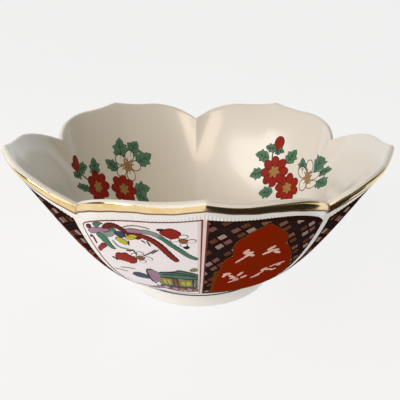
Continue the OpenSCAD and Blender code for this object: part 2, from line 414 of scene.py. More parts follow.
ENAMELS = {
    # name: (tone, other tone, rise above the glaze in mm)
    "leaf_green": ((0.05, 0.14, 0.09), (0.09, 0.22, 0.15), 0.2),
    "grey_green": ((0.2, 0.24, 0.2), (0.28, 0.33, 0.29), 0.19),
    "purple": ((0.24, 0.13, 0.2), (0.4, 0.26, 0.36), 0.18),
    "maroon": ((0.095, 0.01, 0.008), (0.15, 0.02, 0.014), 0.23),
    "iron_red": ((0.23, 0.011, 0.004), (0.31, 0.024, 0.009), 0.26),
    "navy": ((0.03, 0.045, 0.08), (0.06, 0.08, 0.12), 0.2),
    "lime": ((0.42, 0.38, 0.02), (0.5, 0.47, 0.06), 0.24),
    "olive": ((0.18, 0.16, 0.05), (0.27, 0.25, 0.1), 0.2),
    "brown": ((0.2, 0.07, 0.025), (0.28, 0.11, 0.04), 0.24),
    "white": ((0.8, 0.78, 0.78), (0.86, 0.84, 0.84), 0.2),
    "ground": ((0.83, 0.77, 0.79), (0.85, 0.805, 0.82), 0.06),
    "pink": ((0.74, 0.58, 0.55), (0.8, 0.66, 0.64), 0.12),
    "outline": ((0.02, 0.012, 0.015), (0.04, 0.022, 0.028), 0.11),
    "dark_line": ((0.035, 0.02, 0.025), (0.06, 0.035, 0.04), 0.28),
    "frame_red": ((0.12, 0.03, 0.025), (0.2, 0.05, 0.04), 0.16),
}
enamel_materials = {name: glossy(name + "_enamel", tone, other, 6, 0.14, gloss=0.02)
                    for name, (tone, other, _) in ENAMELS.items()}


def soften(outline, closed=True):
    """Rounds the corners of a drawn outline, or of an open stroke, by cutting them twice."""
    line = np.array(outline, float)
    for _ in range(2):
        following = np.roll(line, -1, axis=0) if closed else line[1:]
        before = line if closed else line[:-1]
        cut = np.stack([before * 0.75 + following * 0.25, before * 0.25 + following * 0.75], axis=1)
        cut = cut.reshape(-1, 2)
        line = cut if closed else np.concatenate([line[:1], cut, line[-1:]])
    return line


def stroke(path, width, taper=0.5):
    """The outline of a brush stroke along a path. It narrows towards both ends."""
    line = soften(path, closed=False) if len(path) > 2 else np.array(path, float)
    if len(line) == 2:
        line = line[0] + np.linspace(0, 1, 5)[:, None] * (line[1] - line[0])
    along = np.gradient(line, axis=0)
    along /= np.maximum(np.hypot(along[:, 0], along[:, 1]), 1e-6)[:, None]
    side = np.stack([-along[:, 1], along[:, 0]], axis=1)
    place = np.linspace(-1, 1, len(line))
    half = width / 2 * (1 - taper * place**4)
    return np.concatenate([line - side * half[:, None], (line + side * half[:, None])[::-1]])


def oval(x, y, long, wide, tilt=0.0, steps=18):
    """The outline of an oval, long in the direction tilt, in degrees."""
    angle = np.radians(np.arange(steps) * 360 / steps)
    a, b = long * np.cos(angle), wide * np.sin(angle)
    c, d = math.cos(math.radians(tilt)), math.sin(math.radians(tilt))
    return np.stack([x + a * c - b * d, y + a * d + b * c], axis=1)


def fill(outline, cell, start=0.0):
    """Triangles that fill an outline. Their corners stand on lines x = start + k * cell, which on
    the outside are the ridges and valleys of the flutes, so that the enamel follows them."""
    corners = np.asarray(outline, float)
    edge = []
    for here, there in zip(corners, np.roll(corners, -1, axis=0)):
        step = there - here
        pieces = max(1, round(abs(step[1]) / cell))
        stops = [k / pieces for k in range(pieces)]
        if abs(step[0]) > 1e-6:
            first, second = sorted(((here[0] - start) / cell, (there[0] - start) / cell))
            crossed = range(math.ceil(first), math.floor(second) + 1)
            lines = [(start + k * cell - here[0]) / step[0] for k in crossed]
            clear = 0.25 * cell / np.hypot(*step)
            stops = [q for q in stops if q == 0 or all(abs(q - other) > clear for other in lines)]
            stops += [q for q in lines if clear / 4 < q < 1 - clear / 4]
        edge += [here + step * q for q in sorted(stops)]
    low, high = corners.min(axis=0), corners.max(axis=0)
    columns = range(math.ceil((low[0] - start) / cell), math.floor((high[0] - start) / cell) + 1)
    between = [(start + k * cell, y) for y in np.arange(low[1] + cell / 2, high[1], cell) for k in columns]
    spots = [tuple(p) for p in edge] + between
    points, _, faces, _, _, _ = delaunay_2d_cdt(spots, [], [list(range(len(edge)))], 1, 1e-4)
    points = np.array([tuple(p) for p in points])
    used = sorted({i for face in faces for i in face})
    renumber = {old: new for new, old in enumerate(used)}
    return points[used], [tuple(renumber[i] for i in face) for face in faces]


def raise_enamel(name, patches, place, rise, flipped, material):
    """One closed piece of fired enamel from flat patches. place(x, y, lift) puts them on the bowl.
    Each patch stands a hair above the one before it, so that no two surfaces lie in one plane."""
    all_points, all_faces, start = [], [], 0
    for number, (flat, triangles) in enumerate(patches):
        lift = rise + PATCH_STEP * (number % PATCH_STEPS)
        top = place(flat[:, 0], flat[:, 1], lift)
        under = place(flat[:, 0], flat[:, 1], ENAMEL_ROOT)
        count = len(flat)
        directed = {(f[i], f[(i + 1) % 3]) for f in triangles for i in range(3)}
        sides = [(a, a + count, b + count, b) for a, b in directed if (b, a) not in directed]
        backs = [tuple(i + count for i in reversed(f)) for f in triangles]
        faces = list(triangles) + backs + sides
        for face in faces:
            face = tuple(reversed(face)) if flipped else face
            all_faces.append(tuple(i + start for i in face))
        all_points += [top, under]
        start += 2 * count
    return add_mesh(name, np.concatenate(all_points), all_faces, material)


def spread(outline, width):
    """An outline moved out by width all round. It runs anticlockwise."""
    line = np.asarray(outline, float)
    along = np.roll(line, -1, axis=0) - np.roll(line, 1, axis=0)
    along /= np.maximum(np.hypot(along[:, 0], along[:, 1]), 1e-6)[:, None]
    area = np.sum(line[:, 0] * np.roll(line[:, 1], -1) - line[:, 1] * np.roll(line[:, 0], -1))
    return line + np.sign(area) * width * np.stack([along[:, 1], -along[:, 0]], axis=1)


picture = {name: [] for name in ENAMELS}


def paint(colour, *outlines, edge=0.0):
    """Fills outlines with one enamel. edge is the width of a dark printed line round each."""
    picture[colour] += [fill(outline, ENAMEL_CELL, PICTURE_MIDDLE) for outline in outlines]
    if edge:
        wider = [spread(outline, edge) for outline in outlines]
        picture["outline"] += [fill(outline, ENAMEL_CELL, PICTURE_MIDDLE) for outline in wider]


# Places are in mm from the panel's lower corner at the crease: across to the petal's middle, and up.
# The frame.
corner = [(-1.25, 0), (-1.25, 79), (-0.6, 82.3), (1.5, 83.5), (6, 83.65), (60.8, 83.65)]
paint("frame_red", stroke(corner, 0.75, taper=0), stroke([(60.85, 84), (60.85, 0)], 0.75, taper=0),
      stroke([(-1.6, 0.35), (61.2, 0.35)], 0.7, taper=0),
      stroke([(-1, 3.4), (14, 3), (30, 3.2)], 0.5, taper=0.2))
paint("ground", [(-1.4, 0.2), (61, 0.2), (61, 83.8), (2, 83.4), (-1, 80)])
paint("pink", [(61.2, 0), (62.8, 0), (62.8, 84), (61.2, 84)],
      [(58.9, 0.7), (60.5, 0.7), (60.5, 83.3), (58.9, 83.3)],
      [(-0.9, 0.7), (30, 0.7), (30, 3), (-0.9, 3.1)])
# The pheasant, from its beak to its two long tail feathers.
paint("leaf_green", soften([(9, 82.5), (13.5, 82.8), (16, 81.5), (13.5, 81), (11.5, 79), (9, 79.5)]),
      edge=PRINT_LINE)
paint("leaf_green", soften([(18, 77.5), (20, 77.5), (21.5, 75), (18.5, 74)]), edge=PRINT_LINE)
paint("leaf_green",
      soften([(7.5, 74.5), (13.5, 74), (13.5, 67.5), (14, 62), (15.5, 59.5), (12, 60), (9.5, 67),
              (8, 71)]), edge=PRINT_LINE)
paint("grey_green", stroke([(33.5, 75.2), (37, 74.6), (40, 72.4), (43, 68.6)], 2.8), edge=PRINT_LINE)
paint("grey_green", soften([(11, 75.8), (15, 73.6), (19.3, 76.4), (20, 73), (16, 70.2), (11, 71.5)]),
      edge=PRINT_LINE)
paint("grey_green", stroke([(16, 67.5), (17.2, 61.6), (21.5, 59.5), (25.5, 58.3)], 1.2))
paint("leaf_green", stroke([(41, 71.5), (43.5, 68), (46, 64), (50, 59), (54.5, 53), (59, 50)], 2.3),
      edge=PRINT_LINE)
paint("purple",
      soften([(1.5, 77), (5, 79), (10, 78.5), (15, 78), (18, 76.5), (16.5, 74.8), (9.5, 75),
              (4, 74.3)]), edge=PRINT_LINE)
paint("purple",
      soften([(25, 75), (27.5, 77.3), (31.5, 77), (34.5, 75.5), (37.5, 74.5), (41, 72), (37, 72.6),
              (33, 73.5), (27, 74)]), edge=PRINT_LINE)
paint("maroon", soften([(3, 82), (6.5, 82), (7, 80), (4.5, 78.7), (2, 79.5)]), edge=PRINT_LINE)
paint("maroon",
      soften([(14, 78.5), (17, 81.5), (20.5, 82), (23, 80.5), (25, 78), (27, 75), (26.5, 70.5), (24, 75),
              (21, 78.3), (17.5, 77.3), (14, 77.4)]), edge=PRINT_LINE)
paint("maroon", stroke([(1.2, 72), (2.5, 73.5), (4, 71), (3, 66)], 0.9), edge=PRINT_LINE)
paint("maroon", soften([(26.5, 74), (33, 73.5), (34, 71), (30.5, 67.5), (28.5, 69.5), (25.5, 71.5)]),
      edge=PRINT_LINE)
RED_TAIL = [(31, 71.8), (35, 70), (38, 66.8), (40.8, 62.4), (43.2, 57), (45.6, 52.3), (48, 48.8)]
paint("maroon", stroke(RED_TAIL, 3.3), edge=PRINT_LINE)
paint("iron_red", stroke(RED_TAIL, 1.5))
paint("maroon", soften([(22.6, 54.2), (25, 50.3), (22.8, 45.3), (17.5, 45.3), (20.8, 49)]))
paint("navy", soften([(19.8, 74), (22.5, 75), (24.8, 73), (24.3, 70), (21.5, 69.5), (20, 71.5)]),
      edge=PRINT_LINE)
paint("lime", soften([(18.2, 69.2), (21, 70), (23.8, 67), (24.3, 64.5), (22, 63.2), (19.5, 66)]),
      edge=PRINT_LINE)
paint("lime", soften([(24, 70), (27, 72.2), (29.5, 72.5), (31, 70.5), (28.5, 68.2), (25, 67.5)]),
      edge=PRINT_LINE)
paint("olive", stroke([(25.5, 78), (28, 79.5), (31.5, 80), (35.5, 79), (38, 77.5)], 0.8))
# The peonies, their buds and twigs.
paint("iron_red", soften([(1, 61.5), (4, 63.3), (9, 66.3), (10.5, 62.5), (5, 60.5), (1.5, 58)]),
      edge=PRINT_LINE)
paint("iron_red",
      soften([(11, 52.5), (14, 56.5), (17.5, 55.3), (19.5, 56.3), (22, 52.5), (24.5, 50.3), (22.5, 45.7),
              (18.5, 46.3), (15, 48.5), (11.5, 49.5)]), edge=PRINT_LINE)
paint("iron_red",
      soften([(42.3, 75.5), (44.5, 77.3), (47, 78.3), (49.2, 76.8), (51, 74.5), (51.5, 73), (50, 69.8),
              (47, 68.6), (44.5, 71), (42, 73.5)]), edge=PRINT_LINE)
paint("outline", soften([(40.5, 77.3), (42, 78.3), (45, 77.8), (44, 75.5), (41.3, 75.8)]))
paint("outline", soften([(48.5, 75.8), (51.8, 74.2), (51.5, 71.3), (49, 71)]))
white_petals = [(52.5, 70.6, 2.1, 1.5, 0), (48.3, 68.2, 2.2, 1.4, 20), (56.2, 66.4, 2, 1.4, 0),
                (52.3, 63.5, 1.7, 1.3, 0), (24, 54, 1.8, 1.2, 30), (28, 55.6, 2, 1.3, 0),
                (31.8, 51, 2.1, 1.3, -20), (27.5, 47.7, 1.9, 1.2, 0)]
for x, y, long, wide, tilt in white_petals:
    paint("outline", oval(x, y, long + 0.3, wide + 0.3, tilt))
    paint("white", oval(x, y, long - 0.1, wide - 0.1, tilt))
paint("brown", soften([(25, 52.5), (28, 53.2), (29.5, 50.7), (27.5, 49), (24.5, 50)]), edge=PRINT_LINE)
paint("brown", soften([(50.5, 68), (52.5, 68.7), (55, 67), (53.5, 64.8), (50.3, 65.8)]), edge=PRINT_LINE)
paint("outline", soften([(51.8, 63.7), (53.5, 63.2), (55.7, 61), (53.5, 59.3), (51.8, 61)]))
twigs = [([(25, 66.5), (24, 63)], 0.9), ([(21, 58.5), (23, 57.5), (25, 59), (25.5, 56.5), (26.3, 55)], 0.8),
         ([(32, 67.5), (33.5, 65)], 0.6), ([(34.5, 67), (35.5, 62.5)], 0.7),
         ([(8.5, 52.5), (10, 51.5), (11.2, 49)], 1.3), ([(29, 53), (33, 55.5), (37.5, 59.5)], 0.6),
         ([(34.5, 55.5), (39, 59.5)], 0.6)]
for path, width in twigs:
    paint("dark_line", stroke(path, width))
# Grasses and the ground.
for path in ([(1.5, 38.5), (6, 37.5), (12, 35.5)], [(8.5, 40.5), (14.5, 40.5), (19, 39)]):
    paint("olive", stroke(path, 0.8))
paint("brown", stroke([(36, 10.5), (46, 7), (52, 7.5), (60, 9)], 2.4), edge=0.3)
paint("purple", stroke([(15, 9), (24, 10.5), (31, 12.5)], 1.4), edge=0.3)
paint("purple", stroke([(5.5, 13), (16.5, 14), (28, 14)], 1.0))
paint("purple", stroke([(27, 18), (31, 14.5), (38, 15.5)], 0.8), edge=PRINT_LINE)
# The cart: its shaft, curved front, roof, side panels, posts and wheel.
paint("navy",
      soften([(13.5, 33), (19, 35.7), (23.5, 33.5), (26.5, 31), (26.5, 27), (20.5, 27.8),
              (15.5, 29)]), edge=PRINT_LINE)
paint("purple",
      soften([(27, 40), (30.5, 39.5), (34.5, 36), (34, 28), (29.5, 22), (26.5, 25),
              (26.5, 32.5)]), edge=PRINT_LINE)
paint("leaf_green",
      [(34.5, 36.5), (45.5, 38), (47, 39.5), (53, 37.5), (59.3, 34.5), (59.3, 28.5), (50, 29.5), (42, 31.5),
       (34, 32)], edge=PRINT_LINE)
paint("olive", [(33.5, 31), (41.7, 30.5), (40.7, 20), (34, 19), (31, 23)])
paint("lime", soften([(34.5, 29), (40, 28.5), (39.5, 21.5), (35.5, 21)]), edge=PRINT_LINE)
paint("olive", [(46, 28.5), (56.5, 28), (56.5, 18), (49, 17.5), (46, 20)])
paint("brown", [(41.7, 31), (46, 30.5), (46, 18), (41.2, 18.5)])
paint("lime", soften([(47, 26.5), (54.5, 26), (54, 20), (48, 20.5)]), edge=PRINT_LINE)
paint("grey_green", [(56.8, 28.3), (59.3, 28), (59.3, 14), (58, 13.5)], edge=PRINT_LINE)
paint("olive", soften([(53.5, 39.5), (56.5, 42), (59.3, 41), (59.3, 38), (55.5, 37.8)]))
paint("outline",
      soften([(30, 21), (36, 18.5), (44, 19), (57, 18), (60, 15), (60, 7), (46, 5.5), (38, 8), (30, 13)]))
paint("purple", oval(34, 15.5, 3, 2.6), oval(41, 13.5, 2.6, 3.2), oval(52.5, 12, 2.4, 3.6),
      oval(28.5, 15, 2.6, 1.8))
paint("brown", oval(37.6, 11.2, 1.9, 2), oval(46.6, 13, 2.2, 3.8), oval(57.2, 11.5, 1.8, 3),
      oval(24, 12.5, 3, 1.6))
paint("white", oval(46.6, 9, 3.6, 1.1), oval(52.5, 12, 1.1, 1.4), oval(34, 15.5, 1.2, 1))
cart_lines = [([(31, 39.5), (27.2, 40), (26, 35), (25.3, 26.5), (28, 21)], 0.9),
              ([(35, 37), (45.5, 38), (47, 40), (54.5, 37), (59.3, 34.5)], 0.8),
              ([(34, 31.5), (45.5, 30), (59.3, 28.7)], 1.2), ([(36, 34.5), (47, 35), (59.3, 31.5)], 1.1),
              ([(42.5, 31.5), (41.5, 18)], 1.3), ([(45, 30), (44.7, 17)], 1.1),
              ([(55.8, 29.5), (56.2, 15)], 1.3), ([(38, 37), (47, 37.2), (58, 33.2)], 0.9),
              ([(58, 29), (58.3, 15)], 0.7), ([(37.5, 30.5), (37.2, 20)], 0.5),
              ([(50.5, 28), (50.5, 18.5)], 0.5), ([(31, 22), (41, 19), (56, 17)], 0.7)]
for path, width in cart_lines:
    paint("dark_line", stroke(path, width, taper=0.2))

for petal in range(1, PETALS + 1):
    side = -1 if petal % 2 else 1
    middle = FRONT + PETAL_TURN * (petal - 1)

    def on_picture(x, y, lift):
        u = 1 - CREASE_GAP - PANEL_SPAN * (x + PICTURE_EDGE) / PANEL_WIDE
        s = PANEL_LOW + (PANEL_TOP - PANEL_LOW) * y / PANEL_HIGH
        return outside(middle + side * u * PETAL_TURN / 2, s, lift)

    for colour, (_, _, rise) in ENAMELS.items():
        piece = raise_enamel(f"picture_{petal}_{colour}", picture[colour], on_picture, rise, side > 0,
                             enamel_materials[colour])
        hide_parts(f"picture_panel_{petal}")
        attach(piece, "root")


# ==== Lattice panels ==========================================================================
# A dark brown ground with a diagonal lattice drawn on it in pairs of grey-blue lines. Each
# opening holds four small bricks of pale or brown enamel. A red line edges it beside the picture.

LATTICE_EDGE = 1.2
LATTICE_MIDDLE = -LATTICE_EDGE - MIDDLE_GAP * PANEL_WIDE / PANEL_SPAN
LATTICE_GROUND = 0.12
BAR_RISE = 0.18
BRICK_RISE = 0.2
BAR_HALF = 0.22
BAR_APART = 0.75
BAR_REACH = 12
BRICK_LONG = 0.155
BRICK_WIDE = 0.112

lattice_ground = glossy("lattice_brown_enamel", (0.014, 0.005, 0.003), (0.03, 0.01, 0.006), 8, 0.14,
                        gloss=0.0)
lattice_line = glossy("lattice_line_enamel", (0.028, 0.026, 0.034), (0.012, 0.01, 0.012), 12, 0.14,
                      gloss=0.0)
brick_tones = [
    ("brick_pale", (0.42, 0.33, 0.31), (0.2, 0.12, 0.1)), ("brick_pink", (0.22, 0.11, 0.1),
                                                           (0.13, 0.055, 0.045)),
    ("brick_brown", (0.13, 0.055, 0.03), (0.075, 0.028, 0.015))]
brick_materials = [glossy(name + "_enamel", tone, other, 5, 0.14, gloss=0.0) for name, tone,
                   other in brick_tones]


def clip(outline, low, high):
    """The part of a convex outline inside a rectangle."""
    corners = [np.array(p, float) for p in outline]
    for axis in (0, 1):
        for bound, sign in ((low[axis], 1), (high[axis], -1)):
            kept = []
            for here, there in zip(corners, corners[1:] + corners[:1]):
                a, b = sign * (here[axis] - bound), sign * (there[axis] - bound)
                if a >= 0:
                    kept.append(here)
                if (a >= 0) != (b >= 0):
                    kept.append(here + (there - here) * a / (a - b))
            corners = kept
    return corners


# The reserve's two sides, from its foot up to its point, with a cusp in each.
RESERVE_RIGHT = [(56, 8), (58, 25), (58, 39), (55.8, 44.5), (51.9, 51.3), (47.5, 57.5), (43.3, 62),
                 (40.3, 64),
                 (40.6, 67.5), (38.3, 72), (34.8, 75), (30.6, 78), (26.8, 81)]
RESERVE_LEFT = [(7.6, 8), (7.6, 25), (8.6, 33), (9, 41), (9.3, 46), (11, 50.5), (14.6, 53.5), (13.9, 57.5),
                (13.2, 62), (14.2, 66), (17.6, 70.5), (20.8, 75.4), (23.6, 78.4)]


def in_reserve(x, y, margin):
    """Whether a point is inside the reserve by more than margin."""
    left = np.interp(y, [p[1] for p in RESERVE_LEFT], [p[0] for p in RESERVE_LEFT])
    right = np.interp(y, [p[1] for p in RESERVE_RIGHT], [p[0] for p in RESERVE_RIGHT])
    return left + margin < x < right - margin and 8 < y < 80


falling = np.array((8.2, -10.1))
rising = np.array((9.3, 10.4))
first_opening = np.array((6.0, 66.0))
inner_low, inner_high = (-0.4, 0.7), (61, 83.3)
bars, bricks = [], [[], [], []]
for m in range(-9, 10):
    for falling_bar in (True, False):
        along, apart = (falling, rising) if falling_bar else (rising, falling)
        middle = first_opening + apart * (m + 0.5)
        across_bar = np.array((-along[1], along[0])) / np.hypot(*along)
        for offset in (-BAR_APART, BAR_APART):
            centre = middle + across_bar * offset
            ends = [centre - along * BAR_REACH, centre + along * BAR_REACH]
            quad = [ends[0] - across_bar * BAR_HALF, ends[1] - across_bar * BAR_HALF,
                    ends[1] + across_bar * BAR_HALF, ends[0] + across_bar * BAR_HALF]
            part = clip(quad, inner_low, inner_high)
            if len(part) > 2:
                bars.append(fill(part, ENAMEL_CELL, LATTICE_MIDDLE))
    for n in range(-9, 10):
        opening = first_opening + falling * m + rising * n
        for number, (a, b) in enumerate(((-0.2, 0.2), (0.2, 0.2), (-0.2, -0.2), (0.2, -0.2))):
            centre = opening + falling * a + rising * b
            if in_reserve(centre[0], centre[1], 3):
                continue
            quad = [centre - falling * BRICK_WIDE - rising * BRICK_LONG,
                    centre + falling * BRICK_WIDE - rising * BRICK_LONG,
                    centre + falling * BRICK_WIDE + rising * BRICK_LONG,
                    centre - falling * BRICK_WIDE + rising * BRICK_LONG]
            part = clip(quad, inner_low, inner_high)
            if len(part) > 2:
                tone = (3 * m + 5 * n + number) % 3
                bricks[tone].append(fill(part, ENAMEL_CELL, LATTICE_MIDDLE))
arched_ground = [(-1.2, 0), (61.6, 0), (61.6, 85), (54, 86.5), (46, 87), (38, 87), (29, 86.3), (16, 85),
                 (8, 84), (-1.2, 83.5)]
ground = [fill(arched_ground, ENAMEL_CELL, LATTICE_MIDDLE)]
lattice_frame = [fill([(-1.2, 0), (-0.3, 0), (-0.3, 83.4), (-1.2, 83.4)], ENAMEL_CELL, LATTICE_MIDDLE)]


def lattice_on(petal):
    """What puts flat places of one petal's lattice panel on the bowl. Panels are mirrored in turn."""
    side = 1 if petal % 2 else -1
    middle = FRONT + PETAL_TURN * (petal - 1)

    def on_lattice(x, y, lift):
        u = MIDDLE_GAP + PANEL_SPAN * (x + LATTICE_EDGE) / PANEL_WIDE
        s = PANEL_LOW + (PANEL_TOP - PANEL_LOW) * y / PANEL_HIGH
        return outside(middle + side * u * PETAL_TURN / 2, s, lift)

    return on_lattice


for petal in range(1, PETALS + 1):
    parts = [("ground", ground, LATTICE_GROUND, lattice_ground), ("lines", bars, BAR_RISE, lattice_line),
             ("frame", lattice_frame, BRICK_RISE, enamel_materials["frame_red"])]
    parts += [(name, bricks[k], BRICK_RISE, brick_materials[k]) for k,
              (name, _, _) in enumerate(brick_tones)]
    for name, patches, rise, material in parts:
        piece = raise_enamel(f"lattice_{petal}_{name}", patches, lattice_on(petal), rise, petal % 2 == 0,
                             material)
        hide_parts(f"lattice_panel_{petal}")
        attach(piece, "root")


# ==== Red reserves ============================================================================
# An ogee of iron red enamel laid over the lattice, edged with a thin line of gold brown, with
# sprigs of pale pink blossom drawn on it.

RESERVE_RISE = 0.3
EDGE_RISE = 0.26
EDGE_WIDE = 0.6
BLOSSOM_RISE = 0.36

reserve_red = glossy("reserve_red_enamel", (0.24, 0.0055, 0.001), (0.16, 0.022, 0.003), 16, 0.14, gloss=0.0)
reserve_edge = glossy("reserve_gold_brown", (0.18, 0.055, 0.008), (0.1, 0.03, 0.006), 6, 0.2, gloss=0.0)
blossom_pink = glossy("blossom_pink_enamel", (0.8, 0.56, 0.49), (0.62, 0.34, 0.28), 4, 0.15, gloss=0.02)

reserve_outline = RESERVE_RIGHT + RESERVE_LEFT[::-1]
brown_patch = [(9.2, 40), (5.5, 38), (4.8, 30), (5.2, 20), (5.4, 3.4), (56, 3.4), (57, 12), (20, 14),
               (9, 16)]
# Blossoms as petals (x, y, half length, half width, direction), then their stems.
PETALS_DRAWN = [
    (20.6, 57.6, 2.4, 1.3, 60), (22.6, 56.2, 2.4, 1.2,
                                 20), (24.2, 54.4, 2.2, 1.1, -30), (21.8, 53.8, 1.8, 1, 40),
    (33.9, 60, 2.9, 1.1, 50), (34.2, 56.9, 3.2, 1.1, 40), (38.8, 56.2, 2.6, 1.1,
                                                           -15), (37.4, 58.4, 2, 1, 10),
    (32, 55.2, 2, 0.9, 40), (14, 35.6, 2.8, 1.4, 10), (12.4, 33.4, 2, 1.1, 60), (17.2, 32.8, 2.2, 1.2, -30),
    (18.8, 30.6, 2.4, 1.1, 30), (22.8, 34.8, 2.8, 1.2, 60), (26.4, 31, 2.6, 1.1, 40), (21.2, 29, 2, 1, 20),
    (35.6, 30.8, 2.8, 1.2, 40), (38, 38.4, 2.6, 1.3, 50), (41.6, 38, 2.6, 1.1, 0), (45.4, 37.6, 2.4, 1, 20),
    (47, 43, 1.8, 1, 30)]
STEMS = [[(21.2, 52.6), (19, 50.3), (16.8, 47.4)], [(16.9, 24.2), (20.4, 26.4), (24.2, 27.8)],
         [(41, 41), (45.2, 44.2), (49.8, 46.4)], [(32.5, 28), (36.5, 33), (39, 36.5)]]
sprigs = [fill(oval(*shape, 10), ENAMEL_CELL, LATTICE_MIDDLE) for shape in PETALS_DRAWN]
sprigs += [fill(stroke(stem, 1.3), ENAMEL_CELL, LATTICE_MIDDLE) for stem in STEMS]
reserve_parts = [("edge",
                  [fill(shape, ENAMEL_CELL,
                        LATTICE_MIDDLE) for shape in (spread(reserve_outline, EDGE_WIDE), brown_patch)],
                  EDGE_RISE, reserve_edge),
                 ("red", [fill(reserve_outline, ENAMEL_CELL, LATTICE_MIDDLE)], RESERVE_RISE, reserve_red),
                 ("blossom", sprigs, BLOSSOM_RISE, blossom_pink)]

for petal in range(1, PETALS + 1):
    for name, patches, rise, material in reserve_parts:
        piece = raise_enamel(f"reserve_{petal}_{name}", patches, lattice_on(petal), rise, petal % 2 == 0,
                             material)
        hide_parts(f"red_reserve_{petal}")
        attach(piece, "root")


# ==== Flower sprays ===========================================================================
# Three sprays of red and white peonies with blue-green leaves on the inside, enamelled over the
# glaze with dark outlines. Two share one drawing, and the one at the back on the right is wider.

SPRAY_CELL = 1.6
SPRAY_R = 92
SPRAY_ARC = 112
SPRAY_MIDDLE = 0.54

SPRAY_TONES = {
    # name: (tone, other tone, rise above the glaze in mm)
    "outline": ((0.03, 0.015, 0.015), (0.06, 0.03, 0.03), 0.06),
    "leaf": ((0.06, 0.17, 0.11), (0.14, 0.29, 0.19), 0.12),
    "petal_line": ((0.04, 0.015, 0.015), (0.08, 0.03, 0.03), 0.17),
    "red": ((0.27, 0.015, 0.01), (0.36, 0.035, 0.018), 0.22),
    "white": ((0.82, 0.79, 0.74), (0.88, 0.86, 0.82), 0.22),
    "gold": ((0.42, 0.27, 0.11), (0.3, 0.17, 0.05), 0.28),
    "vein": ((0.05, 0.02, 0.02), (0.03, 0.02, 0.02), 0.27),
}
spray_materials = {name: glossy("spray_" + name + "_enamel", tone, other, 7, 0.14, gloss=0.03)
                   for name, (tone, other, _) in SPRAY_TONES.items()}
LEAF = [(0, 0.03), (0.12, 0.2), (0.3, 0.36), (0.42, 0.27), (0.62, 0.38), (0.68, 0.2), (0.84, 0.15), (1, 0),
        (0.84, -0.15), (0.68, -0.2), (0.62, -0.38), (0.42, -0.27), (0.3, -0.36), (0.12, -0.2), (0, -0.03)]


def moved(outline, x, y, size, tilt):
    """A drawn outline, made size times as large, turned by tilt degrees and put at (x, y)."""
    points = np.array(outline, float) * size
    c, d = math.cos(math.radians(tilt)), math.sin(math.radians(tilt))
    return np.stack([x + points[:, 0] * c - points[:, 1] * d, y + points[:, 0] * d + points[:, 1] * c],
                    axis=1)


def ring(x, y, distance, count, tilt):
    """Places and directions of things that stand round a flower's middle."""
    turns = [tilt + 360 * k / count for k in range(count)]
    return [(x + distance * math.cos(math.radians(a)), y + distance * math.sin(math.radians(a)),
             a) for a in turns]


def red_peony(spray, x, y, size):
    """Eight round petals on a dark ground, an inner ring of smaller ones, and a pale gold middle."""
    spray["petal_line"].append(oval(x, y, 0.78 * size, 0.78 * size, steps=24))
    for a, b, turn in ring(x, y, 0.7 * size, 8, 20):
        spray["petal_line"].append(oval(a, b, 0.34 * size, 0.3 * size, turn, 14))
        spray["red"].append(oval(a, b, 0.29 * size, 0.25 * size, turn, 14))
    for a, b, turn in ring(x, y, 0.4 * size, 7, 0):
        spray["red"].append(oval(a, b, 0.17 * size, 0.14 * size, turn, 10))
    for a, b, turn in ring(x, y, 0.23 * size, 6, 10):
        spray["gold"].append(oval(a, b, 0.18 * size, 0.12 * size, turn, 8))
    spray["gold"].append(oval(x, y, 0.1 * size, 0.1 * size, 0, 8))


def white_peony(spray, x, y, size, tilt):
    """Five round white petals, each outlined, round a star of gold stamens."""
    for a, b, turn in ring(x, y, 0.66 * size, 5, tilt):
        spray["petal_line"].append(oval(a, b, 0.4 * size, 0.36 * size, turn))
        spray["white"].append(oval(a, b, 0.35 * size, 0.31 * size, turn))
    for a, b, turn in ring(x, y, 0.27 * size, 9, tilt + 16):
        spray["gold"].append(oval(a, b, 0.2 * size, 0.07 * size, turn, 8))
    for a, b, turn in ring(x, y, 0.5 * size, 9, tilt + 16):
        spray["vein"].append(oval(a, b, 0.035 * size, 0.035 * size, 0, 6))
    spray["gold"].append(oval(x, y, 0.2 * size, 0.2 * size, 0, 12))


def leaf(spray, x, y, size, tilt):
    """A lobed leaf with a dark outline, a midrib and two pairs of veins. It starts at (x, y)."""
    spray["leaf"].append(moved(LEAF, x, y, size, tilt))
    spray["outline"].append(spread(moved(LEAF, x, y, size, tilt), 0.45))
    for path in ([(0, 0), (0.85, 0)], [(0.22, 0), (0.4, 0.2)], [(0.22, 0), (0.4, -0.2)],
                 [(0.5, 0), (0.64, 0.14)],
                 [(0.5, 0), (0.64, -0.14)]):
        spray["vein"].append(stroke(moved(path, x, y, size, tilt), 0.4))


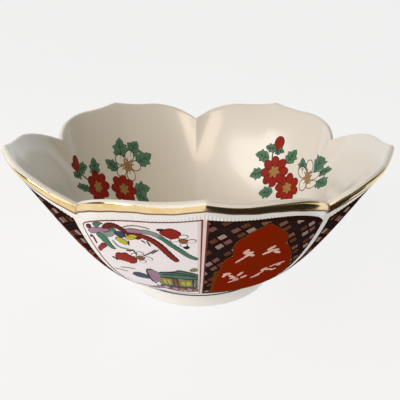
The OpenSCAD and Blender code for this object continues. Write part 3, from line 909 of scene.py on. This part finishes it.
# A bud's place, half sizes and direction, the stem, the two red peonies (x, y, size), the white peony with
# its tilt, and the leaves as (x, y, size, direction). Places are in mm from the spray's middle.
TALL_SPRAY = ((-29.5, 26, 5.4, 4.6, 81), ((-29.4, 19.6), (-28.7, 12.7), (-26, 5.8)),
              ((-20.9, -5.5, 12.5), (3.4, -18.9, 12.8)), (16.9, -2.1, 12.5, 54),
              ((-29.4, 19.6, 10, -147), (-29.4, 19.6, 11.4, -35), (-16.5, 2.1, 14, 66),
               (-30, 3.4, 12.4, 177),
               (5.8, -2.1, 12.5, 122), (13.3, 5.2, 17, 73), (22.3, 3.8, 15.6, 49), (27, -2.7, 17, 26),
               (13.6, -24.4, 18, -1), (14.1, -25.8, 15.6, -49)))
WIDE_SPRAY = ((-22.5, 19.6, 5.6, 3.8, 91), ((-23.4, 14.1), (-25.2, 10.6), (-24, 5.8)),
              ((-17, -4.1, 13), (3.1, -11.3, 12.3)), (16.9, 9.6, 12.5, 49),
              ((-23.4, 14.1, 9.6, -170), (-23.4, 14.1, 7.7, -3), (-23.4, 14.1, 5.5, -48),
               (-27, 4.8, 13, 180), (-9, 6.2, 13, 76), (-28, -7.6, 13, -150), (-9.5, -20.3, 14.5, -159),
               (9.3, 6.5, 12, 125), (19.4, 19, 17, 84), (24, 17.5, 12, 12), (27.8, 8.6, 15, -8)))
SPRAYS = [(268, TALL_SPRAY), (31, WIDE_SPRAY), (142, TALL_SPRAY)]

for number, (direction, shapes) in enumerate(SPRAYS, start=1):
    bud, stem, reds, white, leaves = shapes
    spray = {name: [] for name in SPRAY_TONES}
    spray["outline"] += [stroke(stem, 1.1), spread(oval(*bud), 0.5)]
    spray["red"].append(oval(*bud))
    spray["vein"].append(stroke([(bud[0], bud[1] - 4), (bud[0] - 0.8, bud[1]), (bud[0], bud[1] + 4)], 0.4))
    for place in leaves:
        leaf(spray, *place)
    for place in reds:
        red_peony(spray, *place)
    white_peony(spray, *white)

    def on_inside(x, y, lift):
        return inside(direction - np.degrees(x / SPRAY_R), SPRAY_MIDDLE + y / SPRAY_ARC, lift)

    for name, (_, _, rise) in SPRAY_TONES.items():
        patches = [fill(outline, SPRAY_CELL) for outline in spray[name]]
        piece = raise_enamel(f"spray_{number}_{name}", patches, on_inside, rise, False,
                             spray_materials[name])
        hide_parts(f"flower_spray_{number}")
        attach(piece, "root")


# ==== Floor, light and camera =================================================================
# A plain pale sweep, a large soft light high on the left, softer ones in front, and a black cloth
# on the floor in front on the right. Only reflections show the cloth, and it darkens the gold there.

SWEEP_HALF = 4
SWEEP_FLAT = 1.2
SWEEP_BEND = 1.5
CLOTH_HIGH = 0.002

sweep_section = [(-3, 0), (SWEEP_FLAT, 0)]
sweep_section += [(SWEEP_FLAT + SWEEP_BEND * math.sin(math.radians(a)),
                   SWEEP_BEND - SWEEP_BEND * math.cos(math.radians(a))) for a in range(10, 91, 10)]
sweep_section.append((SWEEP_FLAT + SWEEP_BEND, 4))
sweep_points = [(x, y, z) for y, z in sweep_section for x in (-SWEEP_HALF, SWEEP_HALF)]
sweep_faces = [(2 * k, 2 * k + 1, 2 * k + 3, 2 * k + 2) for k in range(len(sweep_section) - 1)]
sweep_white = bpy.data.materials.new("pale_sweep")
sweep_white.use_nodes = True
sweep_white.node_tree.nodes.clear()
flow = Flow(sweep_white.node_tree)
place = flow.node("ShaderNodeTexCoord", {}, {}, output="Object")
dust = flow.node("ShaderNodeTexNoise", {}, {"Vector": place, "Scale": 1.5})
glow = flow.blend(dust, (0.82, 0.82, 0.82), (0.83, 0.83, 0.83))
shader = flow.node("ShaderNodeBsdfPrincipled", {},
                   {"Base Color": (0.12, 0.12, 0.12, 1), "Roughness": 0.8, "Specular IOR Level": 0.0,
                    "Emission Color": glow, "Emission Strength": 1.0})
flow.node("ShaderNodeOutputMaterial", {}, {"Surface": shader}, output=None)
sweep = add_mesh("sweep", sweep_points, sweep_faces, sweep_white)

black_cloth = glossy("black_cloth", (0.02, 0.018, 0.02), (0.03, 0.027, 0.03), 30, 0.8, gloss=0.0)
flag_corners = [(x, y, CLOTH_HIGH) for x, y in
                ((0.004, -0.062), (0.25, -0.062), (1.2, -0.4), (1.2, -1.6), (0.004, -1.6))]
flag = add_mesh("black_flag", flag_corners, [(4, 3, 2, 1, 0)], black_cloth)
flag.visible_camera = False
flag.visible_shadow = False
flag.visible_diffuse = False


def area_light(name, place, aim, width, height, power, colour):
    """A soft rectangular light at place that shines towards aim."""
    light = bpy.data.lights.new(name, "AREA")
    light.shape = "RECTANGLE"
    light.size = width
    light.size_y = height
    light.energy = power
    light.color = colour
    lamp = bpy.data.objects.new(name, light)
    bpy.context.scene.collection.objects.link(lamp)
    lamp.location = place
    towards = np.array(aim, float) - np.array(place, float)
    across_floor = math.hypot(towards[0], towards[1])
    lamp.rotation_euler = (math.atan2(across_floor, -towards[2]), 0, math.atan2(-towards[0], towards[1]))
    return lamp


area_light("key", (-1.2, -0.6, 0.85), (0, 0, 0.06), 0.9, 0.8, 12.2, (1, 0.95, 0.9))
area_light("fill", (-0.9, -1.4, 0.5), (0, 0, 0.06), 1.0, 0.6, 3.0, (0.95, 0.93, 1))
area_light("front", (-0.3, -1.3, 1.1), (0, 0.05, 0.06), 0.9, 0.7, 9, (1, 0.77, 0.55))

# The room gives little light, but looks pale where it shows beyond the sweep.
world = bpy.data.worlds.new("studio")
world.use_nodes = True
world.node_tree.nodes.clear()
flow = Flow(world.node_tree)
room = flow.node("ShaderNodeBackground", {}, {"Color": (0.92, 1, 0.7, 1), "Strength": 0.09})
backdrop = flow.node("ShaderNodeBackground", {}, {"Color": (0.86, 0.86, 0.86, 1), "Strength": 1.0})
seen = flow.node("ShaderNodeLightPath", {}, {}, output="Is Camera Ray")
studio = flow.node("ShaderNodeMixShader", {}, {0: seen, 1: room, 2: backdrop})
flow.node("ShaderNodeOutputWorld", {}, {"Surface": studio}, output=None)
bpy.context.scene.world = world
bpy.context.scene.view_settings.view_transform = "Standard"

camera_data = bpy.data.cameras.new("camera")
camera_data.lens = 39.28
camera_data.sensor_width = 36
camera = bpy.data.objects.new("camera", camera_data)
camera.location = (-0.0081, -0.3021, 0.1843)
camera.rotation_euler = (math.radians(66.994), math.radians(-0.463), math.radians(-1.582))
bpy.context.scene.collection.objects.link(camera)
bpy.context.scene.camera = camera
